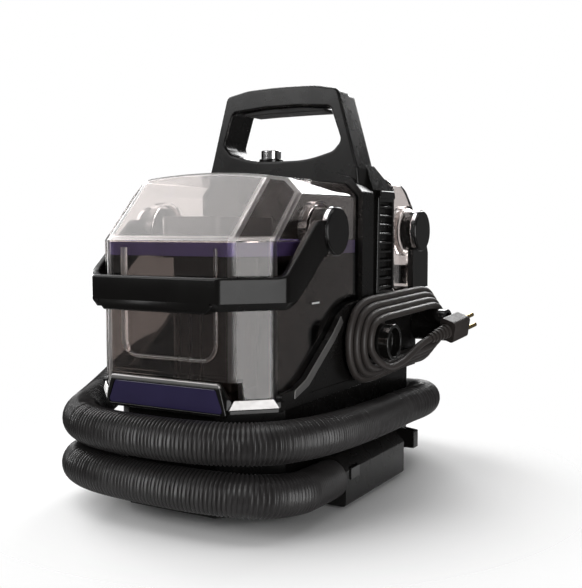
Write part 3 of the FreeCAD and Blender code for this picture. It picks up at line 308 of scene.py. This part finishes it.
def nurbs(curve, points):
    """Adds one open NURBS spline of order 3 with these control points."""
    spline = curve.splines.new("NURBS")
    spline.points.add(len(points) - 1)
    for target, point in zip(spline.points, points):
        target.co = (*point, 1)
    spline.order_u = 3
    spline.use_endpoint_u = True
    return spline


def length_of(path):
    return sum((b - a).length for a, b in zip(path, path[1:]))


def even_steps(path, step):
    """Resamples a path at an even step, and gives each point with its direction."""
    whole = length_of(path)
    count = max(2, round(whole / step))
    spots = []
    walked, number = 0.0, 0
    for index in range(count + 1):
        wanted = whole * index / count
        while number < len(path) - 2 and walked + (path[number + 1] - path[number]).length < wanted:
            walked += (path[number + 1] - path[number]).length
            number += 1
        leg = path[number + 1] - path[number]
        share = 0 if leg.length == 0 else min(1.0, (wanted - walked) / leg.length)
        spots.append((path[number] + leg * share, leg.normalized()))
    return spots


def swept(name, spots, radii, sides, closed=True):
    """A tube mesh through spots, one ring per spot, with a radius for each; its frame doesn't twist."""
    work = bmesh.new()
    side = spots[0][1].orthogonal().normalized()
    rings = []
    for (centre, along), radius in zip(spots, radii):
        side = (side - along * side.dot(along)).normalized()
        up = along.cross(side)
        rings.append([work.verts.new(centre + radius * (side * math.cos(turn) + up * math.sin(turn)))
                      for turn in (2 * math.pi * k / sides for k in range(sides))])
    for first, second in zip(rings, rings[1:]):
        for k in range(sides):
            following = (k + 1) % sides
            work.faces.new((first[k], first[following], second[following], second[k]))
    if closed:
        work.faces.new(list(reversed(rings[0])))
        work.faces.new(rings[-1])
    mesh = bpy.data.meshes.new(name)
    work.to_mesh(mesh)
    work.free()
    return mesh


def turned(name, profile, centre, axis, sides=64):
    """A solid of revolution about an axis through a centre; profile is (distance along, radius)."""
    along = Vector(axis).normalized()
    start = Vector(centre)
    spots = [(start + along * distance, along) for distance, radius in profile]
    return swept(name, spots, [radius for distance, radius in profile], sides)


# ---------------------------------------------------------------- CAD nodes that keep their own shape
BEVELS = {"smoke_plastic": 0.0007, "clear_plastic": 0.0007, "gloss_black": 0.0008, "black_plastic": 0.0007,
          "bright_trim": 0.0004, "purple_plastic": 0.0005,
          "front_bail": 0.0024, "rear_bail": 0.0018, "spine_front_shell": 0.0014, "spine_rear_shell": 0.0014,
          "hose_dock": 0.0014}
# radius, the angles between which an edge is rounded, and how far back the rounding goes
RIDGES = {"dirty_tank_lid": (0.0040, 20, 65, 0.001), "dirty_tank_bucket": (0.0040, 40, 50, 0.001),
          "front_bail": (0.0022, 70, 110, -0.1)}
SOFT = {"front_bail"}
OWN_PIECES = {"suction_hose", "power_cord_coil", "power_cord_lead", "plug_strain_relief", "wand_brush"}
for node in sorted(NODES):
    if node not in OWN_PIECES:
        dress(node, BEVELS.get(node, BEVELS.get(SLOT_OF[node], 0.0004)))


# ---------------------------------------------------------------- suction hose
HOSE_ROUTE = [(x * MM, y * MM, z * MM) for x, y, z in (
    (108.6, -85.2, 27), (108.6, -120, 27), (111, -157, 31), (96, -192, 36), (50, -207, 38), (-10, -209, 39),
    (-66, -204, 39), (-106, -180, 38), (-122, -135, 36), (-125, -70, 34), (-124, -5, 33), (-124, 60, 32),
    (-120, 122, 33), (-103, 172, 36), (-60, 200, 41), (0, 204, 48), (58, 198, 56), (100, 168, 62),
    (118, 120, 66), (121, 58, 70), (121, -8, 70), (120, -75, 72), (116, -135, 75), (96, -184, 77),
    (50, -206, 78), (-10, -209, 78), (-66, -203, 78), (-106, -178, 79), (-119.5, -138, 85), (-119, -106, 101),
    (-117.5, -76, 118), (-116.5, -44, 128), (-116.5, -8.3, 128))]
HOSE_DIAMETER = 36 * MM
RIDGE_PITCH = 3.5 * MM
RIDGE_DEPTH = 1.5 * MM
RIDGE_RINGS = 5


def make_hose():
    """Corrugated hose: a ridge every few millimetres along the smooth route."""
    path = spline_path(HOSE_ROUTE)
    spots = even_steps(path, RIDGE_PITCH / RIDGE_RINGS)
    shape = (1.0, 0.86, 0.28, 0.0, 0.55)
    radii = [HOSE_DIAMETER / 2 - RIDGE_DEPTH * (1 - shape[k % RIDGE_RINGS]) for k in range(len(spots))]
    mesh = swept("suction_hose_mesh", spots, radii, 30)
    hose = piece("suction_hose_visual", mesh, "base", "hose_vinyl", "suction_hose")
    smooth(mesh, 60)


# ---------------------------------------------------------------- power cord
CORD_DIAMETER = 7.3 * MM
FRONT_POST = Vector((0, 2, 143)) * MM
REAR_POST = Vector((0, 150, 146)) * MM
# each turn's radius about the posts and its distance from the machine's middle
TURNS = [(21.6, 108.3), (27.7, 103.7), (39.5, 103.8), (33.6, 108.6), (27.8, 113.4), (22.3, 118.2)]
GLAND_END = Vector((99.8, 46, 144)) * MM


def bend_points(post, radius, x, angles, step=45):
    """Control points whose spline runs round a post at a radius; angles are from straight back, upwards."""
    reach = radius / math.cos(math.radians(step / 2))
    turns = [math.radians(angle) for angle in angles]
    return [Vector((x, post.y + reach * math.cos(turn), post.z + reach * math.sin(turn))) for turn in turns]


def straight_points(radius, x, next_radius, next_x, above):
    """Two control points on a run between the posts, drifting to the next turn's place."""
    points = []
    shares = (0.68, 0.32) if above else (0.32, 0.68)
    for share, blend in zip(shares, (0.3, 0.7)):
        r = radius + (next_radius - radius) * blend
        middle = FRONT_POST.lerp(REAR_POST, share)
        height = r if above else -r
        points.append(Vector((x + (next_x - x) * blend, middle.y, middle.z + height)))
    return points


def coil_points():
    """The cord from its gland, turn by turn round both posts, each turn further out and smaller."""
    points = [GLAND_END, Vector((102.5, 45, 144.5)) * MM, Vector((106, 36, 153)) * MM,
              Vector((108.3, 22, 163.5)) * MM]
    sizes = [(radius * MM, x * MM) for radius, x in TURNS]
    for number, (radius, x) in enumerate(sizes):
        points += bend_points(FRONT_POST, radius, x, (112.5, 157.5, 202.5, 247.5))
        if number + 1 == len(sizes):
            break
        wide, out = sizes[number + 1]
        points += straight_points(radius, x, wide, out, False)
        points += bend_points(REAR_POST, wide, out, (-67.5, -22.5, 22.5, 67.5))
        points += straight_points(wide, out, wide, out, True)
    return points


def make_power_cord(carried):
    """The wound cord and the stretch that rises to the plug, as one smooth line."""
    tail = [Vector(point) * MM for point in (
        (122.5, 10, 115), (125.5, 34, 117.5), (128, 56, 124), (131, 78, 133.5), (135.2, 92, 137))]
    points = coil_points()[:-1] + tail
    curve = bpy.data.curves.new("power_cord_line", "CURVE")
    curve.dimensions = "3D"
    nurbs(curve, points).resolution_u = 10
    curve.bevel_depth = CORD_DIAMETER / 2
    curve.bevel_resolution = 4
    curve.use_fill_caps = True
    cord = bpy.data.objects.new("power_cord_visual", curve)
    bpy.context.scene.collection.objects.link(cord)
    curve.materials.append(MATERIALS["cord_rubber"])
    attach(cord, "base")
    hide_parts("power_cord_coil", "power_cord_lead")


def make_strain_relief():
    """Ribbed sleeve between the cord and the plug."""
    start = Vector((135.2, 92, 137)) * MM
    along = (start - Vector((131, 78, 134)) * MM).normalized()
    ribs = []
    count = 6
    for rib in range(count):
        low = (0.1 + rib * 5.0) * MM
        radius = (5.0 + rib * 0.55) * MM
        ribs += [(low, radius - 1.1 * MM), (low + 0.5 * MM, radius), (low + 3.2 * MM, radius + 0.25 * MM),
                 (low + 3.8 * MM, radius - 1.1 * MM), (low + 4.9 * MM, radius - 1.1 * MM)]
    mesh = turned("strain_relief_mesh", ribs, start, along, 40)
    smooth(mesh, 50)
    return piece("plug_strain_relief_visual", mesh, "base", "cord_rubber", "plug_strain_relief")


# ---------------------------------------------------------------- small details
def boxes(name, spans, body, slot, material=None):
    """One mesh of many small boxes, each a pair of opposite corners."""
    work = bmesh.new()
    for low, high in spans:
        size = Vector(high) - Vector(low)
        middle = (Vector(high) + Vector(low)) / 2
        place = Matrix.Translation(middle) @ Matrix.Diagonal((*size, 1))
        bmesh.ops.create_cube(work, size=1, matrix=place)
    mesh = bpy.data.meshes.new(name)
    work.to_mesh(mesh)
    work.free()
    return piece(name, mesh, body, slot, material=material)


def make_level_mark():
    """Printed fill line on the dirty tank's right wall, with no lettering."""
    low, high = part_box("dirty_tank_bucket")
    face = high.x
    line = ((face + 0.02 * MM, -0.0890, 0.1846), (face + 0.14 * MM, -0.0750, 0.1862))
    boxes("level_mark", [line], "front_tank", "smoke_plastic", PRINT_WHITE)


def make_window_rim():
    """Raised rim of the window moulded into the dirty tank's front wall: down, across and up again."""
    low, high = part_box("dirty_tank_bucket")
    left, right, top, foot, bend = -0.047, 0.050, 0.236, 0.141, 0.014
    leg_radius, rim_radius, leg_reach = 0.0030, 0.0018, 0.004
    path = [Vector((left, low.y, top)), Vector((left, low.y, foot + bend))]
    for centre, start in ((left + bend, 180), (right - bend, 270)):
        for step in range(1, 9):
            turn = math.radians(start + step * 90 / 8)
            across, up = bend * math.cos(turn), bend * math.sin(turn)
            path.append(Vector((centre + across, low.y, foot + bend + up)))
    path.append(Vector((right, low.y, top)))
    spots = even_steps(path, 0.002)
    radii = [leg_radius if spot.x < left + leg_reach else rim_radius for spot, along in spots]
    mesh = swept("window_rim_mesh", spots, radii, 16)
    smooth(mesh, 60)
    rim = piece("window_rim", mesh, "front_tank", "smoke_plastic")
    # painted highlight: the left leg alone wears the lighter, rougher plastic
    rim.data.materials.append(PAINTED_HIGHLIGHT)
    for face in mesh.polygons:
        face.material_index = int(face.center.x < left + leg_reach)


def make_stack_ribs():
    """Moulded ribs down the front of the suction stack, seen through the window; their light plastic is a
    painted highlight.
    """
    low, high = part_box("suction_stack")
    width, foot, top = 0.0022, 0.118, 0.2
    front, back = low.y - 0.0006, low.y + 0.004
    ribs = [((x, front, foot), (x + width, back, top)) for x in (-0.016, -0.004, 0.008)]
    boxes("stack_ribs", ribs, "front_tank", "clear_plastic", PAINTED_HIGHLIGHT)


def make_bristles():
    """Tufts of the wand's brush, in rows on their backing."""
    low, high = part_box("wand_brush")
    work = bmesh.new()
    rows, columns = 3, 14
    for row in range(rows):
        for column in range(columns):
            x = low.x + (high.x - low.x) * (row + 0.5) / rows
            z = low.z + (high.z - low.z) * (column + 0.5) / columns
            turn = Matrix.Rotation(math.radians(-90), 4, "X")
            middle = Vector((x, (low.y + high.y) / 2 + 0.0012, z))
            bmesh.ops.create_cone(work, cap_ends=True, segments=10, radius1=0.0014, radius2=0.0019,
                                  depth=(high.y - low.y) - 0.0026, matrix=Matrix.Translation(middle) @ turn)
    backing = Matrix.Translation(((low.x + high.x) / 2, low.y + 0.0015, (low.z + high.z) / 2))
    size = Matrix.Diagonal((high.x - low.x, 0.003, high.z - low.z, 1))
    bmesh.ops.create_cube(work, size=1, matrix=backing @ size)
    mesh = bpy.data.meshes.new("wand_brush_mesh")
    work.to_mesh(mesh)
    work.free()
    smooth(mesh)
    piece("wand_brush_visual", mesh, BODY_OF["wand_brush"], "bristle", "wand_brush")


make_hose()
make_power_cord([make_strain_relief(), bpy.data.objects["mains_plug_visual"],
                 bpy.data.objects["plug_prongs_visual"]])
make_level_mark()
make_window_rim()
make_stack_ribs()
make_bristles()


# ---------------------------------------------------------------- stage, lights and camera
FLOOR_REACH = 1.6
FADE_START = 0.16
FADE_END = 0.40


def make_floor():
    """Plain pale floor that fades into the white surround a little way off."""
    mesh = bpy.data.meshes.new("floor")
    reach = FLOOR_REACH
    corners = [(-reach, -reach, 0), (reach, -reach, 0), (reach, reach, 0), (-reach, reach, 0)]
    mesh.from_pydata(corners, [], [(0, 1, 2, 3)])
    material, principled = shader("floor_white", Roughness=0.8, Specular_IOR_Level=0.2)
    wire(material, tint(material, noise(material, 3), (0.93, 0.93, 0.93), (0.95, 0.95, 0.95)),
         principled.inputs["Base Color"])
    distance = add(material, "VectorMath", operation="LENGTH")
    wire(material, place_of(material), distance.inputs[0])
    fade = add(material, "MapRange")
    fade.interpolation_type = "SMOOTHSTEP"
    fade.inputs["From Min"].default_value = FADE_START
    fade.inputs["From Max"].default_value = FADE_END
    wire(material, distance.outputs["Value"], fade.inputs["Value"])
    mix = add(material, "MixShader")
    clear_floor = add(material, "BsdfTransparent")
    out = next(node for node in material.node_tree.nodes if node.type == "OUTPUT_MATERIAL")
    wire(material, fade.outputs["Result"], mix.inputs[0])
    wire(material, principled.outputs[0], mix.inputs[1])
    wire(material, clear_floor.outputs[0], mix.inputs[2])
    wire(material, mix.outputs[0], out.inputs["Surface"])
    mesh.materials.append(material)
    floor = bpy.data.objects.new("floor", mesh)
    bpy.context.scene.collection.objects.link(floor)


# name, place, target, watts, width, height
LAMPS = [
    ("overhead_left", (-1.15, -0.1, 1.9), (0, 0, 0.2), 34, 2.0, 2.0),
    ("overhead_right", (0.6, 0.4, 1.9), (0, 0, 0.2), 3, 0.7, 0.7),
    ("front_left", (-1.0, -1.5, 0.9), (0, 0, 0.2), 9, 1.0, 0.6),
    ("side_left", (-1.75, 0.75, 0.55), (0, 0, 0.2), 26, 0.8, 1.3),
    ("rim_back", (-0.35, 1.75, 1.2), (0, 0, 0.25), 30, 1.4, 0.8),
    ("side_right", (1.78, -1.23, 0.15), (0.05, -0.15, 0.2), 27, 0.9, 1.9)]


def make_lamp(name, place, target, power, width, height):
    """A soft rectangular studio lamp that faces a target."""
    lamp = bpy.data.lights.new(name, "AREA")
    lamp.shape = "RECTANGLE"
    lamp.size = width
    lamp.size_y = height
    lamp.energy = power
    holder = bpy.data.objects.new(name, lamp)
    holder.location = place
    holder.rotation_euler = (Vector(target) - Vector(place)).to_track_quat("-Z", "Y").to_euler()
    bpy.context.scene.collection.objects.link(holder)


def make_camera():
    """Low three-quarter view from the front right."""
    lens = bpy.data.cameras.new("camera")
    lens.sensor_width = 36
    lens.lens = 54.88
    camera = bpy.data.objects.new("camera", lens)
    camera.location = (0.4718, -0.794, 0.252)
    camera.rotation_euler = (math.radians(90 - 4.147), 0, math.radians(29.66))
    bpy.context.scene.collection.objects.link(camera)
    bpy.context.scene.camera = camera


def make_world():
    """White studio surround: full white where it is seen, also through clear plastic, and dimmer as a fill."""
    world = bpy.data.worlds.new("studio")
    world.use_nodes = True
    tree = world.node_tree
    path = tree.nodes.new("ShaderNodeLightPath")
    seen = tree.nodes.new("ShaderNodeMath")
    seen.operation = "MAXIMUM"
    strength = tree.nodes.new("ShaderNodeMapRange")
    strength.inputs["To Min"].default_value = 0.10
    strength.inputs["To Max"].default_value = 1.0
    background = tree.nodes["Background"]
    background.inputs["Color"].default_value = (1, 1, 1, 1)
    tree.links.new(path.outputs["Is Camera Ray"], seen.inputs[0])
    tree.links.new(path.outputs["Is Transmission Ray"], seen.inputs[1])
    tree.links.new(seen.outputs[0], strength.inputs["Value"])
    tree.links.new(strength.outputs["Result"], background.inputs["Strength"])
    bpy.context.scene.world = world


make_floor()
make_camera()
make_world()
for lamp in LAMPS:
    make_lamp(*lamp)
bpy.context.scene.view_settings.view_transform = "Standard"
